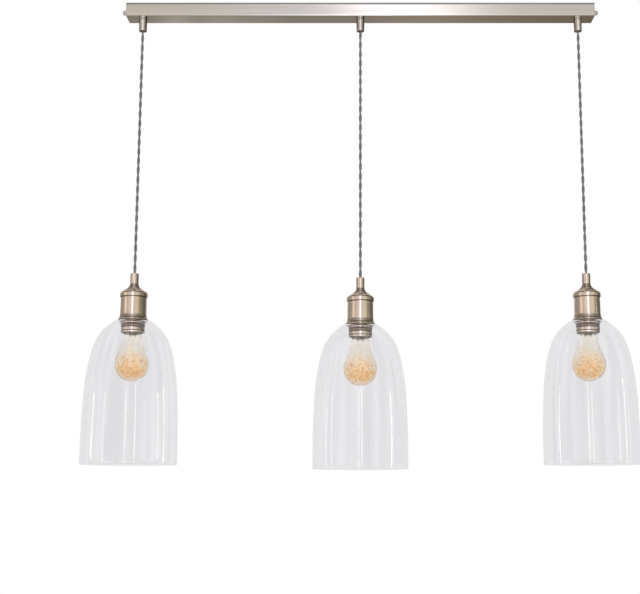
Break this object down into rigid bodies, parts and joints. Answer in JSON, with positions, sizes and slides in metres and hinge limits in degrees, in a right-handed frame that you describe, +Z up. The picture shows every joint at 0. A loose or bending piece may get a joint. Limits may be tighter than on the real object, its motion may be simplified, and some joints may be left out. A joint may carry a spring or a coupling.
{
  "type": "linear island pendant light",
  "caption": "Slim satin nickel ceiling bar with twisted fabric flexes, each carrying a turned lampholder, a clear glass cloche shade and a clear filament lamp.",
  "frame": {"origin": "on the ceiling plane at the middle of the ceiling bar's mounting bracket", "axes": "+X along the bar to the right as seen from the room, +Y away from the viewer, +Z up into the ceiling"},
  "size_m": [1.014, 0.174, 0.8865],
  "materials": {
    "bar_nickel": "satin nickel, brushed along the bar",
    "zinc_steel": "bright zinc plate",
    "screw_nickel": "satin nickel, knurled edge",
    "grip_nickel": "satin nickel, turned",
    "holder_nickel": "warm satin nickel, turned",
    "nylon": "moulded nylon",
    "zinc_screw": "yellow zinc plate",
    "flex_fabric": "braided grey fabric over a twisted pair",
    "holder_core": "glazed insulator",
    "contact_brass": "bright rolled brass",
    "gasket": "clear-grey silicone",
    "shade_glass": "clear, fire-polished rim",
    "lamp_tip": "dark glass insulator with a soldered tip",
    "lamp_cap": "nickel-plated, rolled thread",
    "lamp_glass": "clear glass with a pale amber tint",
    "lamp_stem": "clear pressed glass",
    "filament": "fine wire"
  },
  "bodies": {
    "canopy": {"ceiling_bracket": "zinc_steel", "canopy_cover": "bar_nickel", "cord_grip_left": "grip_nickel", "cord_grip_centre": "grip_nickel", "cord_grip_right": "grip_nickel", "grip_inserts": "nylon", "grip_nuts": "zinc_steel", "terminal_block": "nylon", "terminal_screws": "zinc_screw", "earth_screw": "zinc_steel", "flex_tails": "flex_fabric"},
    "left_end_washer": {"end_washer_left": "screw_nickel"},
    "left_end_screw": {"end_screw_left": "screw_nickel"},
    "right_end_washer": {"end_washer_right": "screw_nickel"},
    "right_end_screw": {"end_screw_right": "screw_nickel"},
    "left_neck": {"flex_neck_left": "flex_fabric"},
    "left_flex": {"flex_left": "flex_fabric"},
    "left_lampholder": {"holder_grip_left": "grip_nickel", "holder_cap_left": "holder_nickel", "holder_shell_left": "holder_nickel", "holder_core_left": "holder_core", "holder_contacts_left": "contact_brass"},
    "left_shade": {"shade_gaskets_left": "gasket", "glass_shade_left": "shade_glass"},
    "left_ring": {"shade_ring_left": "holder_nickel"},
    "left_bulb_tip": {"bulb_tip_left": "lamp_tip"},
    "left_bulb": {"bulb_cap_left": "lamp_cap", "bulb_glass_left": "lamp_glass", "bulb_stem_left": "lamp_stem", "filament_left": "filament"},
    "centre_neck": {"flex_neck_centre": "flex_fabric"},
    "centre_flex": {"flex_centre": "flex_fabric"},
    "centre_lampholder": {"holder_grip_centre": "grip_nickel", "holder_cap_centre": "holder_nickel", "holder_shell_centre": "holder_nickel", "holder_core_centre": "holder_core", "holder_contacts_centre": "contact_brass"},
    "centre_shade": {"shade_gaskets_centre": "gasket", "glass_shade_centre": "shade_glass"},
    "centre_ring": {"shade_ring_centre": "holder_nickel"},
    "centre_bulb_tip": {"bulb_tip_centre": "lamp_tip"},
    "centre_bulb": {"bulb_cap_centre": "lamp_cap", "bulb_glass_centre": "lamp_glass", "bulb_stem_centre": "lamp_stem", "filament_centre": "filament"},
    "right_neck": {"flex_neck_right": "flex_fabric"},
    "right_flex": {"flex_right": "flex_fabric"},
    "right_lampholder": {"holder_grip_right": "grip_nickel", "holder_cap_right": "holder_nickel", "holder_shell_right": "holder_nickel", "holder_core_right": "holder_core", "holder_contacts_right": "contact_brass"},
    "right_shade": {"shade_gaskets_right": "gasket", "glass_shade_right": "shade_glass"},
    "right_ring": {"shade_ring_right": "holder_nickel"},
    "right_bulb_tip": {"bulb_tip_right": "lamp_tip"},
    "right_bulb": {"bulb_cap_right": "lamp_cap", "bulb_glass_right": "lamp_glass", "bulb_stem_right": "lamp_stem", "filament_right": "filament"}
  },
  "joints": [
    {"name": "left_end_out", "type": "slide", "parent": "canopy", "child": "left_end_washer", "axis": [-1, 0, 0], "range_m": [0, 0.007]},
    {"name": "left_end_turn", "type": "hinge", "parent": "left_end_washer", "child": "left_end_screw", "pos_m": [-0.4508, 0, -0.013], "axis": [-1, 0, 0], "range_deg": [0, 3601]},
    {"name": "right_end_out", "type": "slide", "parent": "canopy", "child": "right_end_washer", "axis": [1, 0, 0], "range_m": [0, 0.007]},
    {"name": "right_end_turn", "type": "hinge", "parent": "right_end_washer", "child": "right_end_screw", "pos_m": [0.4508, 0, -0.013], "axis": [1, 0, 0], "range_deg": [0, 3601]},
    {"name": "left_swing_side", "type": "hinge", "parent": "canopy", "child": "left_neck", "pos_m": [-0.42, 0, -0.0505], "axis": [0, 1, 0], "range_deg": [-14, 14]},
    {"name": "left_swing_fore", "type": "hinge", "parent": "left_neck", "child": "left_flex", "pos_m": [-0.42, 0, -0.0605], "axis": [1, 0, 0], "range_deg": [-25, 25]},
    {"name": "left_turn", "type": "hinge", "parent": "left_flex", "child": "left_lampholder", "pos_m": [-0.42, 0, -0.5265], "axis": [0, 0, 1], "range_deg": [-180, 180]},
    {"name": "left_shade_drop", "type": "slide", "parent": "left_lampholder", "child": "left_shade", "axis": [0, 0, -1], "range_m": [0, 0.012]},
    {"name": "left_ring_turn", "type": "hinge", "parent": "left_shade", "child": "left_ring", "pos_m": [-0.42, 0, -0.6285], "axis": [0, 0, -1], "range_deg": [0, 2161]},
    {"name": "left_bulb_out", "type": "slide", "parent": "left_lampholder", "child": "left_bulb_tip", "axis": [0, 0, -1], "range_m": [0, 0.01996]},
    {"name": "left_bulb_turn", "type": "hinge", "parent": "left_bulb_tip", "child": "left_bulb", "pos_m": [-0.42, 0, -0.6281], "axis": [0, 0, -1], "range_deg": [0, 1981]},
    {"name": "centre_swing_side", "type": "hinge", "parent": "canopy", "child": "centre_neck", "pos_m": [0, 0, -0.0505], "axis": [0, 1, 0], "range_deg": [-14, 14]},
    {"name": "centre_swing_fore", "type": "hinge", "parent": "centre_neck", "child": "centre_flex", "pos_m": [0, 0, -0.0605], "axis": [1, 0, 0], "range_deg": [-25, 25]},
    {"name": "centre_turn", "type": "hinge", "parent": "centre_flex", "child": "centre_lampholder", "pos_m": [0, 0, -0.5345], "axis": [0, 0, 1], "range_deg": [-180, 180]},
    {"name": "centre_shade_drop", "type": "slide", "parent": "centre_lampholder", "child": "centre_shade", "axis": [0, 0, -1], "range_m": [0, 0.012]},
    {"name": "centre_ring_turn", "type": "hinge", "parent": "centre_shade", "child": "centre_ring", "pos_m": [0, 0, -0.6365], "axis": [0, 0, -1], "range_deg": [0, 2161]},
    {"name": "centre_bulb_out", "type": "slide", "parent": "centre_lampholder", "child": "centre_bulb_tip", "axis": [0, 0, -1], "range_m": [0, 0.01996]},
    {"name": "centre_bulb_turn", "type": "hinge", "parent": "centre_bulb_tip", "child": "centre_bulb", "pos_m": [0, 0, -0.6361], "axis": [0, 0, -1], "range_deg": [0, 1981]},
    {"name": "right_swing_side", "type": "hinge", "parent": "canopy", "child": "right_neck", "pos_m": [0.42, 0, -0.0505], "axis": [0, 1, 0], "range_deg": [-14, 14]},
    {"name": "right_swing_fore", "type": "hinge", "parent": "right_neck", "child": "right_flex", "pos_m": [0.42, 0, -0.0605], "axis": [1, 0, 0], "range_deg": [-25, 25]},
    {"name": "right_turn", "type": "hinge", "parent": "right_flex", "child": "right_lampholder", "pos_m": [0.42, 0, -0.5265], "axis": [0, 0, 1], "range_deg": [-180, 180]},
    {"name": "right_shade_drop", "type": "slide", "parent": "right_lampholder", "child": "right_shade", "axis": [0, 0, -1], "range_m": [0, 0.012]},
    {"name": "right_ring_turn", "type": "hinge", "parent": "right_shade", "child": "right_ring", "pos_m": [0.42, 0, -0.6285], "axis": [0, 0, -1], "range_deg": [0, 2161]},
    {"name": "right_bulb_out", "type": "slide", "parent": "right_lampholder", "child": "right_bulb_tip", "axis": [0, 0, -1], "range_m": [0, 0.01996]},
    {"name": "right_bulb_turn", "type": "hinge", "parent": "right_bulb_tip", "child": "right_bulb", "pos_m": [0.42, 0, -0.6281], "axis": [0, 0, -1], "range_deg": [0, 1981]}
  ],
  "couplings": [
    {"joint": "left_end_turn", "follows": "left_end_out", "rad_per_m": 8976},
    {"joint": "right_end_turn", "follows": "right_end_out", "rad_per_m": 8976},
    {"joint": "left_ring_turn", "follows": "left_shade_drop", "rad_per_m": 3141.6},
    {"joint": "left_bulb_turn", "follows": "left_bulb_out", "rad_per_m": 1731.4},
    {"joint": "centre_ring_turn", "follows": "centre_shade_drop", "rad_per_m": 3141.6},
    {"joint": "centre_bulb_turn", "follows": "centre_bulb_out", "rad_per_m": 1731.4},
    {"joint": "right_ring_turn", "follows": "right_shade_drop", "rad_per_m": 3141.6},
    {"joint": "right_bulb_turn", "follows": "right_bulb_out", "rad_per_m": 1731.4}
  ]
}
